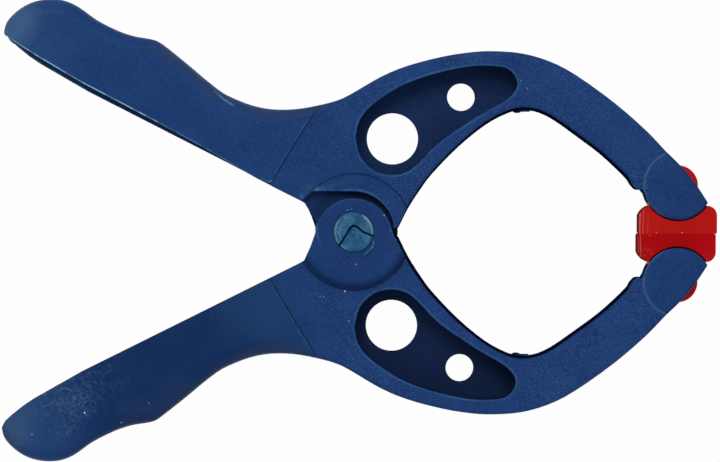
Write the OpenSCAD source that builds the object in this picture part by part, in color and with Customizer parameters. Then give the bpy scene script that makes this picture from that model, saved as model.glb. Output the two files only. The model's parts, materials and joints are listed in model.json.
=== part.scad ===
/* [Clamp] */
// Width of the handles across the hinge axis
body_w = 24; // [22:0.5:30]
// How much thinner the jaws are than the handles, on each side
crease_d = 0.35; // [0.2:0.05:0.6]
// Angle between the clamp's centre line and each handle, at rest
handle_angle = 27.7; // [26:0.1:32]

/* [Handles] */
// Reach of a handle from the hinge axis to its tip
handle_l = 90.3; // [86:0.1:100]
// Distance from the hinge axis to the narrow waist of the grip
waist_s = 38.5; // [36:0.5:41]
// Depth of the grip at its waist
waist_n = 13.7; // [12.5:0.1:15]
// Distance from the hinge axis to the finger ridge
ridge_s = 59; // [57:0.5:61]
// Depth of the grip at the finger ridge
ridge_n = 17.1; // [16.5:0.1:18]
// Edge radius along the back of the grip
grip_r = 3.6; // [2:0.2:4.4]
// Thickness of the two side walls of the grip channel
side_wall = 2.8; // [2:0.1:3.5]
// Thickness of the back wall of the grip channel
back_wall = 2.8; // [2:0.1:3.5]

/* [Jaws] */
// Distance along the jaws from the hinge axis to the pad pivots
pad_x = 72.3; // [70:0.1:76]
// Height of a pad pivot above the clamping plane
pad_y = 10.8; // [10:0.1:12]
// Distance along the jaws from the hinge axis to the crown of an arm
crown_x = 31.5; // [30:0.5:33]
// Height of the crown above the clamping plane
crown_y = 40.5; // [39.5:0.1:42]
// Distance along the jaws from the hinge axis to the top of the throat
throat_x = 37.5; // [36:0.5:39]
// Height of the throat above the clamping plane
throat_y = 27.5; // [26:0.1:28.5]
// Edge radius round the jaws
jaw_r = 0.9; // [0.4:0.1:1.5]
// Radius of the round cheeks that hold the pads
cheek_r = 7.7; // [7.2:0.1:8]
// Edge radius round the cheeks
cheek_edge = 0.4; // [0.3:0.05:0.8]

/* [Hanging holes] */
// Radius of the large hole in each arm
large_hole_r = 5.75; // [4:0.05:6.5]
// Radius of the small hole in each arm
small_hole_r = 3.1; // [2:0.05:3.6]
// Depth of the pocket round the holes, on each side
pocket_d = 7.2; // [2:0.1:9]

/* [Hinge] */
// Radius of the hinge pin
pin_r = 4.5; // [3.5:0.1:5]
// Running clearance round the hinge pin
pin_play = 0.05; // [0.02:0.01:0.08]
// Radius of the pin's rear head
pin_head_r = 6.6; // [5.5:0.1:8]
// Thickness of the pin's rear head
pin_head_t = 0.5; // [0.3:0.05:0.55]
// Radius of the hinge ears
ear_r = 8.6; // [8.2:0.05:8.8]
// Thickness of an outer ear, measured from the side of the handle
outer_ear_t = 3.2; // [2.4:0.1:3.6]
// Thickness of an inner ear
inner_ear_t = 3; // [2:0.1:3.4]
// Gap between the faces of neighbouring ears
ear_gap = 0.3; // [0.2:0.05:0.5]
// Depth of the round dish above an inner ear
dish_d = 0.7; // [0.5:0.1:1]
// Radius of the dish, and of the groove round an outer ear
dish_r = 13.15; // [12.8:0.05:13.6]
// Level of an outer ear, below the side of the jaws
ear_step = 0.3; // [0.2:0.05:0.5]
// Depth of the groove round an outer ear
groove_d = 0.75; // [0.4:0.05:1]

/* [Spring] */
// Diameter of the spring wire
wire_d = 1.8; // [1.2:0.1:1.9]
// Radius of the coil to the middle of the wire
coil_r = 7.2; // [6.6:0.1:7.6]
// Full turns of the coil, besides the part turn between its legs
coil_turns = 3; // [1:1:3]
// Length of each leg
leg_l = 44; // [40:1:60]

/* [Pads] */
// Thickness of each cheek of the fork that holds a pad
cheek_t = 2.7; // [2:0.1:3.2]
// Radius of the lug that turns in the jaw
lug_r = 4.5; // [3.8:0.1:4.8]
// Radius of the trunnions at the ends of the lug
trunnion_r = 2; // [1.5:0.1:2.2]
// Width of a pad's clamping face along the jaws
pad_l = 17.4; // [16.8:0.1:18.6]
// Width of a pad across the jaws
pad_w = 23; // [20:0.1:24]
// Gap between the two closed pads
pad_gap = 0.02; // [0.02:0.02:0.4]
// Clearance between a pad and the jaw that holds it
pad_play = 0.3; // [0.2:0.05:0.4]

/* [Hidden] */
$fn = 96;
eps = 0.01;
far = 200;

blue = [0.11, 0.23, 0.43];
teal = [0.17, 0.37, 0.5];
red = [0.68, 0.06, 0.07];
steel = [0.62, 0.64, 0.66];

// Layers across the hinge, measured from the middle plane
half_w = body_w / 2;
half_jaw = half_w - crease_d;
dish_floor = half_jaw - dish_d;
ear_face = half_jaw - ear_step;
outer_ear_in = half_w - outer_ear_t;
inner_ear_out = outer_ear_in - ear_gap;
inner_ear_in = inner_ear_out - inner_ear_t;

// The ear discs sit a little towards their own arm
ear_drop = 1.1;
ear_room = ear_r + 0.45;
throat_ear_r = ear_r + 1.2;
throat_ear_room = throat_ear_r + 0.35;

// Points [along the handle, away from its inner edge] turned into the frame of the hinge
function grip_point(s, n) = [
    -s * cos(handle_angle) + n * sin(handle_angle),
    s * sin(handle_angle) + n * cos(handle_angle)];
function grip_run(list) = [for (p = list) concat(grip_point(p[0], p[1]), [p[2]])];

// A smooth line through control points; each point carries its edge radius as a third value
function blend(a, b, c, d, t) =
    0.5 * (2 * b + (c - a) * t + (2 * a - 5 * b + 4 * c - d) * t * t + (3 * b - a - 3 * c + d) * t * t * t);
function smooth(p, k = 3) = let (m = len(p) - 1) concat(
    [for (i = [0:m - 1], j = [0:k - 1])
        blend(p[max(i - 1, 0)], p[i], p[i + 1], p[min(i + 2, m)], j / k)],
    [p[m]]);
function arc(centre, r, from, to, steps, edge) = [for (i = [0:steps])
    let (a = from + (to - from) * i / steps)
    [centre[0] + r * cos(a), centre[1] + r * sin(a), edge]];
function flat(list) = [for (p = list) [p[0], p[1]]];

// Back of the handle, from its tip to the hollow behind the jaws
grip_back = grip_run([
    [handle_l - 0.6, 2.6, 1],
    [handle_l, 5, grip_r * 0.8],
    [handle_l - 0.8, 8.2, grip_r],
    [handle_l - 2.6, 11.2, grip_r],
    [handle_l - 5.2, 13.5, grip_r],
    [handle_l - 8.5, 15.1, grip_r],
    [handle_l - 12, 15.5, grip_r],
    [ridge_s + 14.5, 14.85, grip_r],
    [ridge_s + 9, 14.9, grip_r],
    [ridge_s + 5, ridge_n - 1.6, grip_r],
    [ridge_s + 2, ridge_n - 0.65, grip_r * 0.8],
    [ridge_s - 0.2, ridge_n - 0.1, grip_r * 0.6],
    [ridge_s - 2.6, ridge_n - 0.35, grip_r * 0.8],
    [ridge_s - 9, ridge_n - 1.6, grip_r],
    [waist_s + 7, waist_n + 0.8, grip_r],
    [waist_s + 3, waist_n + 0.1, grip_r],
    [waist_s, waist_n, grip_r],
    [waist_s - 5, waist_n + 0.55, grip_r],
    [waist_s - 9.5, waist_n + 1.9, grip_r * 0.9],
    [waist_s - 14, waist_n + 4.3, grip_r * 0.7],
    [waist_s - 18, waist_n + 7.3, grip_r * 0.4]]);

// Back of the jaw, over its crown and down to the round cheek
jaw_back = [
    [-3.6, 29.4, jaw_r],
    [0, 31.2, jaw_r],
    [6, 34.7, jaw_r],
    [12, 37.2, jaw_r],
    [crown_x - 11.5, crown_y - 1.2, jaw_r],
    [crown_x - 5, crown_y - 0.2, jaw_r],
    [crown_x, crown_y, jaw_r],
    [crown_x + 6, crown_y - 0.5, jaw_r],
    [crown_x + 12, crown_y - 2.2, jaw_r],
    [crown_x + 18, crown_y - 5.3, jaw_r],
    [pad_x - 14, pad_y + 18.1, jaw_r],
    [pad_x - 7, pad_y + 12, (jaw_r + cheek_edge) / 2],
    [pad_x - 2.8, pad_y + 7.6, cheek_edge],
    [pad_x + 0.8, pad_y + 4.1, cheek_edge],
    [pad_x + 4, pad_y + 0.2, cheek_edge],
    [pad_x + cheek_r * cos(30), pad_y - cheek_r * sin(30), cheek_edge]];

// Inner side of the jaw, from the round cheek up over the throat and down to the hinge
throat = [
    [pad_x - 8, pad_y - 1, cheek_edge],
    [pad_x - 9, pad_y - 1, cheek_edge],
    [pad_x - 9.8, pad_y - 0.5, cheek_edge],
    [pad_x - 12.4, pad_y + 2.4, jaw_r],
    [pad_x - 17.4, pad_y + 7, jaw_r],
    [throat_x + 12, throat_y - 5.7, jaw_r],
    [throat_x + 7.5, throat_y - 2.5, jaw_r],
    [throat_x + 3.8, throat_y - 0.6, jaw_r],
    [throat_x, throat_y, jaw_r],
    [throat_x - 3.4, throat_y - 0.8, jaw_r],
    [throat_x - 8.2, throat_y - 3.4, jaw_r],
    [throat_x - 14.1, throat_y - 8.2, jaw_r],
    [throat_x - 19.9, throat_y - 14.2, jaw_r],
    [14.9, 9.7, jaw_r],
    [12.2, 5.5, jaw_r],
    [9.9, 0.9, jaw_r]];

waist_corner = [-11, 6.4];
// Inner edges of the two side walls of a grip: the wall on the outer ear's side is the deeper one
deep_lip = [[14, 0.6], [26, 0.4], [waist_s, 0.15], [50, -0.05], [62, -0.2], [68, -0.3],
    [handle_l - 16, -0.05], [handle_l - 10, 0.15], [handle_l - 7, 0.5], [handle_l - 4, 1.1], [handle_l - 2, 1.65]];
shallow_lip = [[24, 0.4], [32, 0.6], [waist_s, 0.9], [50, 1], [62, 0.95], [69, 0.9],
    [handle_l - 15, 1.15], [handle_l - 10, 1.4], [handle_l - 5, 1.75], [handle_l - 1.5, 2.2], [handle_l + 1, 2.6]];

outline = concat(
    smooth(concat(grip_back, jaw_back)),
    arc([pad_x, pad_y], cheek_r, -42, -166, 12, cheek_edge),
    smooth(throat),
    [[8.2, 0.9, 0.4], [0, ear_r, 0.4], [-8.2, 2.4, 0.4], [waist_corner[0], waist_corner[1], 0.4]],
    grip_run([for (p = deep_lip) [p[0], p[1], 0.4]]));

// From this line on, the jaw side of an arm is a little thinner than its handle
crease = [[-18.9, 10.5], [-8, 28.3]];
function half_at(p) =
    cross(crease[1] - crease[0], [p[0], p[1]] - crease[0]) < 0 ? half_jaw : half_w;

// A prism on an outline of [x, y, edge radius], with its edges rounded over on both sides.
// It stands proud of both faces, and the arm cuts it flat.
proud = 0.02;
bends = [90, 60, 30, 0];
function outward(p, i) = let (
    q = p[(i + 1) % len(p)] - p[(i + len(p) - 1) % len(p)])
    [-q[1], q[0]] / norm([q[0], q[1]]);
function inset(p, a) = [for (i = [0:len(p) - 1]) let (o = outward(p, i) * p[i][2] * (1 - cos(a)))
    [p[i][0] - o[0], p[i][1] - o[1]]];
function ring(p, side, a) = let (q = inset(p, a)) [for (i = [0:len(p) - 1])
    [q[i][0], q[i][1], side * (half_at(p[i]) + proud - p[i][2] * (1 - sin(a)))]];
function cap(p, side) = [for (q = inset(p, bends[0])) [q[0], q[1], side * (half_w + 1)]];
module rounded_prism(p) {
    n = len(p);
    rings = concat(
        [cap(p, -1)], [for (a = bends) ring(p, -1, a)],
        [for (i = [len(bends) - 1:-1:0]) ring(p, 1, bends[i])], [cap(p, 1)]);
    last = len(rings) - 1;
    polyhedron(
        points = [for (r = rings) each r],
        faces = concat(
            [[for (i = [0:n - 1]) n - 1 - i]],
            [[for (i = [0:n - 1]) last * n + i]],
            [for (k = [0:last - 1], i = [0:n - 1]) let (j = (i + 1) % n)
                each [[k * n + i, k * n + j, (k + 1) * n + i], [k * n + j, (k + 1) * n + j, (k + 1) * n + i]]]),
        convexity = 6);
}

// Inside of the grip channel: the back line moved in by the back wall, open towards the other handle
channel_back = let (b = smooth(grip_back)) [for (i = [4:len(b) - 14])
    let (o = outward(b, i)) [b[i][0] - o[0] * back_wall, b[i][1] - o[1] * back_wall]];
channel_start = 24;
leg_room = waist_n - back_wall;
channel = concat(channel_back, [
    grip_point(channel_start, leg_room),
    grip_point(channel_start, -6),
    grip_point(handle_l - back_wall - 1, -6)]);

pocket = [
    [0.4, 21.2, 0], [1.2, 24.8, 0], [3.9, 28.2, 0], [9.9, 32.3, 0], [16.8, 35, 0], [25, 36.9, 0],
    [31.2, 37.1, 0], [34.6, 36.2, 0], [36.3, 33.2, 0], [34.2, 29.9, 0], [27.6, 26, 0], [19.3, 20.4, 0],
    [14.2, 15.3, 0], [11.6, 13.4, 0], [8.4, 12.8, 0], [4.7, 13.7, 0], [1.5, 16.8, 0]];
large_hole = [8.5, 20.9];
small_hole = [23.8, 30.3];

// Fork and pad
fork_in = half_jaw - cheek_t;
socket_floor = 1;
boss_h = 0.25;
pad_side = flat(concat(
    [[pad_x + pad_l / 2 - 0.3, pad_gap / 2, 0], [pad_x - pad_l / 2 + 0.3, pad_gap / 2, 0]],
    smooth([
        [pad_x - pad_l / 2, pad_gap / 2 + 0.5, 0],
        [pad_x - pad_l / 2 + 0.05, pad_y - 7.1, 0],
        [pad_x - pad_l / 2 + 0.5, pad_y - 6.1, 0],
        [pad_x - 7.2, pad_y - 5.1, 0],
        [pad_x - 6.3, pad_y - 4.5, 0]]),
    [[pad_x, pad_y, 0]],
    smooth([
        [pad_x + 6.2, pad_y - 4.8, 0],
        [pad_x + 7, pad_y - 4.75, 0],
        [pad_x + 7.9, pad_y - 5.3, 0],
        [pad_x + pad_l / 2 - 0.15, pad_y - 6.4, 0],
        [pad_x + pad_l / 2, pad_y - 7.6, 0],
        [pad_x + pad_l / 2, pad_gap / 2 + 0.5, 0]])));

// Gate mark at the top of the throat
nub_r = 1.1;

// Pin
head_play = 0.1;
head_seat = -ear_face - head_play;
pin_top = ear_face + 0.5;
split_w = 0.35;
split_d = 2.5;
split_apex = [-0.35, 1.45];
split_angles = [-124, -28];

// Spring: the coil stands between the inner ears, and each leg leaves it square to its radius
// and leans out until it bears on the back wall at the waist of the grip
leg_play = 0.2;
coil_play = 0.25;
leg_lean = atan((leg_room - wire_d / 2 - leg_play - coil_r) / waist_s);
leg_foot = 90 - handle_angle - leg_lean;
coil_sweep = 360 * coil_turns + 2 * leg_foot;
coil_h = 2 * (inner_ear_in - coil_play) - wire_d;
coil_steps = ceil(8 * coil_sweep / 360);
wire_sides = 6;
function coil_point(i) = let (a = leg_foot - coil_sweep * i / coil_steps)
    [coil_r * cos(a), coil_r * sin(a), coil_h * (0.5 - i / coil_steps)];
function leg_tip(side) = [
    coil_r * cos(leg_foot) - leg_l * sin(leg_foot),
    side * (coil_r * sin(leg_foot) + leg_l * cos(leg_foot)),
    side * coil_h / 2];
coil = [for (i = [0:coil_steps]) coil_point(i)];
wire = concat([leg_tip(1)], coil, [leg_tip(-1)]);
coil_gap = min([for (i = [0:coil_steps - 6], j = [i + 6:coil_steps]) norm(coil[i] - coil[j])]) - wire_d;

module layer(from, to) { translate([0, 0, from]) linear_extrude(to - from) children(); }
module ear(neck) {
    translate([0, ear_drop]) circle(ear_r);
    polygon(concat([waist_corner, [waist_corner[0], 14], [11, 14], [11.6, 6.6]], neck));
}
module inner_ear() {
    ear([[8.5, 0.4], [-8.4, 2.2]]);
    intersection() {
        circle(throat_ear_r);
        translate([0, -far / 2]) square([far, far]);
    }
}
// Room for the other arm's ear and for its swing
module ear_recess(r) {
    circle(r);
    polygon([[0, ear_room], [-8.9, ear_room], [-11.6, 7], [-11.6, -far], [0, -far]]);
}
module dish() {
    rotate_extrude() polygon([[0, dish_floor], [dish_r - 0.5, dish_floor], [dish_r - 0.1, dish_floor + 0.25],
        [dish_r, half_jaw], [dish_r, far], [0, far]]);
}
// Levels an outer ear, and rounds its foot down into a groove
module ear_groove() {
    rotate_extrude() polygon([[0, ear_face], [dish_r - 3, ear_face], [dish_r - 2, ear_face - groove_d * 0.12],
        [dish_r - 1.1, ear_face - groove_d * 0.45], [dish_r - 0.5, ear_face - groove_d],
        [dish_r - 0.2, ear_face - groove_d], [dish_r, half_jaw], [dish_r, far], [0, far]]);
}

// The rounded blank, cut flat on both sides
module blank() difference() {
    rounded_prism(outline);
    for (side = [0, 1]) mirror([0, 0, side]) {
        layer(half_w, far) square(2 * far, center = true);
        layer(half_jaw, far)
            polygon(concat(crease, [[crease[1][0], far], [far, far], [far, -far], [crease[0][0], -far]]));
    }
}

module arm() color(blue) difference() {
    union() {
        difference() {
            blank();
            // Hinge cavity and the way out for the spring leg
            layer(-inner_ear_in, inner_ear_in) {
                circle(ear_room);
                polygon([for (p = [[1, leg_room], [channel_start + 2, leg_room], [channel_start + 2, -6], [1, -6]])
                    grip_point(p[0], p[1])]);
            }
            layer(-half_w + side_wall, half_w - side_wall) polygon(channel);
            // The near lip stops short of the far one
            layer(0, far) polygon([for (p = concat(shallow_lip, [[handle_l + 1, -9], [24, -9]]))
                grip_point(p[0], p[1])]);
            layer(inner_ear_out, far) ear_recess(ear_room);
            layer(-outer_ear_in, -inner_ear_in + eps) ear_recess(throat_ear_room);
        }
        layer(inner_ear_in, inner_ear_out) inner_ear();
        layer(-half_jaw, -outer_ear_in) ear([[9.6, 0.9], [8.1, -1.8], [-8.6, 0.4], [-9.6, 3.3]]);
        translate([throat_x - 0.6, throat_y + 0.2]) cylinder(r = nub_r, h = 5, center = true);
        for (side = [0, 1]) mirror([0, 0, side]) layer(half_jaw - eps, half_jaw + boss_h) intersection() {
            translate([pad_x, pad_y]) circle(cheek_r);
            polygon(inset(outline, 90));
        }
    }
    dish();
    mirror([0, 0, 1]) ear_groove();
    for (side = [0, 1]) mirror([0, 0, side])
        layer(half_jaw - pocket_d, far) polygon(flat(smooth(concat(pocket, [pocket[0]]))));
    translate(concat(large_hole, [0])) cylinder(r = large_hole_r, h = far, center = true);
    translate(concat(small_hole, [0])) cylinder(r = small_hole_r, h = far, center = true);
    cylinder(r = pin_r + pin_play, h = far, center = true);
    // Fork and blind sockets for the pad
    translate([pad_x, pad_y]) {
        cylinder(r = cheek_r + pad_play + 0.1, h = 2 * fork_in, center = true);
        cylinder(r = trunnion_r + pin_play, h = 2 * (half_jaw - socket_floor), center = true);
    }
}

module jaw_pad() color(red) {
    translate([pad_x, pad_y]) {
        cylinder(r = lug_r, h = 2 * (fork_in - pad_play), center = true);
        cylinder(r = trunnion_r, h = 2 * (half_jaw - socket_floor - 0.25), center = true);
        layer(pad_play - fork_in, fork_in - pad_play)
            polygon([[-lug_r + 0.2, -0.8], [-4.4, -8.2], [4.4, -8.2], [lug_r - 0.2, -0.8]]);
    }
    layer(-pad_w / 2, pad_w / 2) difference() {
        polygon(pad_side);
        translate([pad_x, pad_y]) circle(cheek_r + pad_play);
    }
}

module hinge_pin() color(teal) difference() {
    rotate_extrude() polygon([
        [0, pin_top], [pin_r - 1.3, pin_top - 0.05], [pin_r - 0.4, pin_top - 0.25], [pin_r, pin_top - 0.8],
        [pin_r, head_seat], [pin_head_r, head_seat], [pin_head_r, head_seat - pin_head_t / 2],
        [pin_head_r - 0.5, head_seat - pin_head_t], [0, head_seat - pin_head_t]]);
    // The split that lets the barbed end snap through
    translate([split_apex[0], split_apex[1], pin_top - split_d]) for (a = split_angles) rotate(a)
        translate([-split_w / 2, -split_w / 2, 0]) cube([2 * pin_r, split_w, far]);
}

// One wire, from the tip of a leg through the coil to the tip of the other leg
module torsion_spring() color(steel) {
    n = len(wire);
    rows = [for (i = [0:n - 1]) let (
        d = wire[min(i + 1, n - 1)] - wire[max(i - 1, 0)],
        t = d / norm(d),
        side = [t[1], -t[0], 0] / norm([t[0], t[1]]),
        up = cross(side, t))
        each [for (k = [0:wire_sides - 1]) wire[i]
            + (side * cos(360 * k / wire_sides) + up * sin(360 * k / wire_sides)) * wire_d / 2]];
    polyhedron(
        points = rows,
        faces = concat(
            [[for (k = [0:wire_sides - 1]) wire_sides - 1 - k]],
            [[for (k = [0:wire_sides - 1]) (n - 1) * wire_sides + k]],
            [for (i = [0:n - 2], k = [0:wire_sides - 1]) let (
                a = i * wire_sides + k,
                b = i * wire_sides + (k + 1) % wire_sides)
                each [[a, b, a + wire_sides], [b, b + wire_sides, a + wire_sides]]]),
        convexity = 8);
}

echo(least_gap_in_the_coil_mm = coil_gap);

// The origin is the middle of the clamp's footprint, with the clamp lying on its side
module stand() translate([-(min([for (p = outline) p[0]]) + pad_x + pad_l / 2) / 2, 0, half_w]) children();

stand() rotate([180, 0, 0]) arm();  // lower_arm
stand() arm();  // upper_arm
stand() hinge_pin();
stand() torsion_spring();
stand() rotate([180, 0, 0]) jaw_pad();  // lower_jaw_pad
stand() jaw_pad();  // upper_jaw_pad
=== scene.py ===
import bpy
import bmesh
import json
import math
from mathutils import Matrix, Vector


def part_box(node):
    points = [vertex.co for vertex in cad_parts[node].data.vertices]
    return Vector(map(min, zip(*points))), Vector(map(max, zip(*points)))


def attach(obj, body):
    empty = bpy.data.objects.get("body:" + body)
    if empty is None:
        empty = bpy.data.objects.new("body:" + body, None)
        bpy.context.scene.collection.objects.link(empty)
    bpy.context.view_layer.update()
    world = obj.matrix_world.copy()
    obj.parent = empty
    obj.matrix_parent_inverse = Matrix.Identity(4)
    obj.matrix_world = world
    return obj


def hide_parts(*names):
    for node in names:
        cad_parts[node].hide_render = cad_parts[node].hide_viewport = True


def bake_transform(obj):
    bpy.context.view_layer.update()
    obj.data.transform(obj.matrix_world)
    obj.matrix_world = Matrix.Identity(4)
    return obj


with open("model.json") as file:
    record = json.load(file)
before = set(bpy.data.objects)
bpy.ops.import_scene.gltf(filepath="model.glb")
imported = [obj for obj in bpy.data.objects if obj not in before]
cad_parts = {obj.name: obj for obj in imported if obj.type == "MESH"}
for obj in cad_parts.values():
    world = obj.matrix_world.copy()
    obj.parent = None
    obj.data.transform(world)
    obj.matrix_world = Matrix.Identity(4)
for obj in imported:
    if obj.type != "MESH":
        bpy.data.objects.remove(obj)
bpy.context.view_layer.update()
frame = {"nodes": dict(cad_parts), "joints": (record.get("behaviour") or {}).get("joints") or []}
print("frame loaded:", sorted(frame["nodes"]))

mm = 0.001
joints = {joint["name"]: joint for joint in frame["joints"]}
hinge = Vector(joints["jaw_opening"]["pos_m"])
midPlane = hinge.z
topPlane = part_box("upper_arm")[1].z
padPivot = Vector(joints["upper_pad_swivel"]["pos_m"])
uprightFrom = 5 * mm
squareFrom = 60
rimFaceBelow = 8 * mm * mm


def fromHinge(x, y, z=0.0):  # millimetres from the hinge, on the middle plane
    return Vector((hinge.x + x * mm, hinge.y + y * mm, midPlane + z * mm))


def clamped(value):
    return min(max(value, 0), 1)


# The height at x of a line through points that run from left to right, or None beside it
def lineAt(points, x):
    for (ax, ay), (bx, by) in zip(points, points[1:]):
        if ax <= x <= bx:
            return ay + (by - ay) * (x - ax) / (bx - ax)
    return None


def clearSelection():
    for thing in bpy.context.selected_objects:
        thing.select_set(False)


def makeActive(piece):
    clearSelection()
    piece.select_set(True)
    bpy.context.view_layer.objects.active = piece


def edit(piece, mode="EDGE"):
    makeActive(piece)
    bpy.ops.object.mode_set(mode="EDIT")
    bpy.ops.mesh.select_mode(type=mode)
    bpy.ops.mesh.select_all(action="DESELECT")


def leaveEdit():
    bpy.ops.object.mode_set(mode="OBJECT")


def editAll(piece):
    edit(piece, "VERT")
    bpy.ops.mesh.select_all(action="SELECT")


def selectWhere(piece, kind, test):
    mesh = bmesh.from_edit_mesh(piece.data)
    count = 0
    for item in getattr(mesh, kind):
        if test(item):
            item.select_set(True)
            count += 1
    mesh.select_flush_mode()
    bmesh.update_edit_mesh(piece.data)
    return count


def middle(edge):
    return (edge.verts[0].co + edge.verts[1].co) / 2


def applyModifier(piece, kind, **values):
    makeActive(piece)
    modifier = piece.modifiers.new(kind.lower(), kind)
    for name, value in values.items():
        setattr(modifier, name, value)
    bpy.ops.object.modifier_apply(modifier=modifier.name)


def settle(piece):
    makeActive(piece)
    bpy.ops.object.transform_apply(location=True, rotation=True, scale=True)


def cutOrJoin(piece, tool, operation):
    applyModifier(piece, "BOOLEAN", object=tool, operation=operation, solver="EXACT")
    bpy.data.objects.remove(tool)


def smoothShade(piece, angle):
    makeActive(piece)
    bpy.ops.object.shade_smooth_by_angle(angle=math.radians(angle))
    applyModifier(piece, "WEIGHTED_NORMAL", weight=60, keep_sharp=True)
    print(piece.name, "faces:", len(piece.data.polygons))


def addObject(name, data):
    thing = bpy.data.objects.new(name, data)
    bpy.context.scene.collection.objects.link(thing)
    return thing


def outerEdge(edge, degrees):
    return len(edge.link_faces) == 2 and edge.is_convex and edge.calc_face_angle(0) > math.radians(degrees)


def upright(edge):
    a, b = edge.verts
    return abs(a.co.z - b.co.z) > uprightFrom


# Rounds the edges that pass the test; mark is called while the new faces are selected
def roundEdges(piece, test, width, segments, profile=0.5, clamp=False, mark=None):
    edit(piece)
    count = selectWhere(piece, "edges", test)
    bpy.ops.mesh.bevel(offset=width, segments=segments, profile=profile, clamp_overlap=clamp, affect="EDGES")
    if mark:
        mark()
    leaveEdit()
    return count


def roundCorner(piece, test, *rounding):
    roundEdges(piece, lambda e: upright(e) and test(middle(e)), *rounding)


def addBlock(name, centre, size):
    clearSelection()
    bpy.ops.mesh.primitive_cube_add(size=1, location=centre, scale=size)
    piece = bpy.context.object
    piece.name = name
    settle(piece)
    return piece


def addRod(name, centre, radius, depth, sides=96, rim=0.0, rimSegments=3):
    clearSelection()
    bpy.ops.mesh.primitive_cylinder_add(vertices=sides, radius=radius, depth=depth, location=centre)
    piece = bpy.context.object
    piece.name = name
    settle(piece)
    if rim:
        roundEdges(piece, lambda e: outerEdge(e, squareFrom), rim, rimSegments)
    return piece


def faceLayer(mesh, name):
    return mesh.faces.layers.float.get(name) or mesh.faces.layers.float.new(name)


arm = {
    "mergeWithin": (0.002 * mm, 0.1 * mm),
    "flatWithin": 1,
    "rims": {"pocket": (0.5 * mm, 3), "lip": (0.28 * mm, 2), "plain": (0.2 * mm, 2)},
    "rimProfile": 0.6,
    "sharpFrom": 34,
    "smoothBelow": 36,
    "draft": 0.4 * mm,
    "draftNearHinge": {"upper": 0.2 * mm, "lower": 0.55 * mm},
    "draftRun": 22,
    "throat": (10, 61),
    "throatMiddle": (38, 0),
    "steep": 0.1,
    "midBand": 0.05 * mm,
    "wallHeight": 10 * mm,
    "edgeBand": 1.25 * mm,
    "wallTilt": 0.35,
    "handleAngle": 27.7,
    "gripFrom": 22,
    "lipBand": 3.2,
    "channelTop": 9.3,
    "channelFacing": 0.2,
    "hubEnd": 9,
    "hubReach": 13,
    "hubTop": 11.3,
    "hubPocket": (12, 30),
    "pocketBox": ((0, 38), (12, 39)),
    "pocketEnd": 37,
    "pocketAxis": ((7, 19.4), (31, 31.6)),
    "floorFlat": 0.9,
    "floorBelow": 9,
    "back": ((-3.6, 29.4), (6, 34.7), (12, 37.2), (20, 39.3), (31.5, 40.5), (43.5, 38.3), (58.3, 28.9),
             (80, 8.0)),
    "backWall": 1.5,
    "mouthFrom": 11,
    "crease": ((-18.9, 10.5), (-8, 28.3)),
    "creaseBand": 0.5,
    "creaseSpan": (9, 30),
    "ridgeFrom": 11.9,
    "cheek": (72.3, 10.8, 7.7),
    "cheekBefore": 70.3,
    "ear": (0, 1.1, 8.6),
    "earFrom": 10,
    "ringBand": 0.5,
    # Rims get rubbed wear with a painted highlight, the upper near lip a painted highlight, and the crease's
    # foot and the pockets' floors painted shade
    "lipHighlight": ((53, 1), (47, 0.6), (22, 0.25)),
    "farLipHighlight": 0.4,
    "earRimHighlight": 0.4,
    "cheekRimHighlight": 0.3,
    "creaseHighlight": 0.2,
    "creaseShade": 0.85,
    "pocketRimHighlight": 0.24,
    "otherRimWearAndHighlight": 0.06,
    "floorShade": {"upper": 0.6, "lower": 0.93},
    "stop": (36.85, 27.85),
    "stopSize": (4.9 * mm, 1.4 * mm, 5 * mm),
    "stopCorner": (0.4 * mm, 3),
    "nub": (36.9, 27.7, 1.15),
    "nubShift": 0.5 * mm,
    "nubFlat": 0.45 * mm,
}


def sign(side):
    return 1 if side == "upper" else -1


# A place in its own arm's frame, in millimetres: x, y and the height above the middle plane
def inArm(place, side):
    return (place.x - hinge.x) / mm, sign(side) * (place.y - hinge.y) / mm, (place.z - midPlane) / mm


# How far a place or a direction goes along the handle and away from its inner side
def alongHandle(x, y):
    turn = math.radians(arm["handleAngle"])
    return -x * math.cos(turn) + y * math.sin(turn), x * math.sin(turn) + y * math.cos(turn)


def fromCrease(x, y):
    (ax, ay), (bx, by) = arm["crease"]
    length = math.hypot(bx - ax, by - ay)
    return abs((bx - ax) * (y - ay) - (by - ay) * (x - ax)) / length


def onRing(x, y, name):
    middleX, middleY, radius = arm[name]
    return abs(math.hypot(x - middleX, y - middleY) - radius) < arm["ringBand"]


# How much rubbed wear and painted highlight a rim gets; the cheeks' and the lower ear's rims get a stronger
# painted highlight
def wearAndHighlightOfRim(x, y, z, side):
    if onRing(x, y, "cheek") and x < arm["cheekBefore"]:
        return arm["cheekRimHighlight"]
    if onRing(x, y, "ear") and side == "lower" and z > arm["earFrom"]:
        return arm["earRimHighlight"]
    return arm["otherRimWearAndHighlight"]


def beforeBack(x, y):
    points = arm["back"]
    return y < lineAt(points, min(max(x, points[0][0]), points[-1][0])) - arm["backWall"]


# Walls that look at the throat, a pocket, the hinge or a grip channel: little light reaches them, so they get
# painted shade
def insideWall(x, y, z, normal, side):
    if abs(normal.z) > arm["wallTilt"]:
        return False
    normalY = sign(side) * normal.y
    if alongHandle(x, y)[0] > arm["gripFrom"]:
        return abs(z) < arm["channelTop"] and alongHandle(normal.x, normalY)[1] < arm["channelFacing"]
    if x < arm["hubEnd"]:
        low, high = arm["hubPocket"]
        return math.hypot(x, y) < arm["hubReach"] and abs(z) < arm["hubTop"] or x > 0 and low < y < high
    throatX, throatY = arm["throatMiddle"]
    facing = normal.x * (throatX - x) + normalY * (throatY - y)
    return (facing > 0 or x < arm["pocketEnd"]) and beforeBack(x, y)


def aboutPocket(x, y):
    (left, right), (low, high) = arm["pocketBox"]
    return left < x < right and low < y < high


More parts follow.
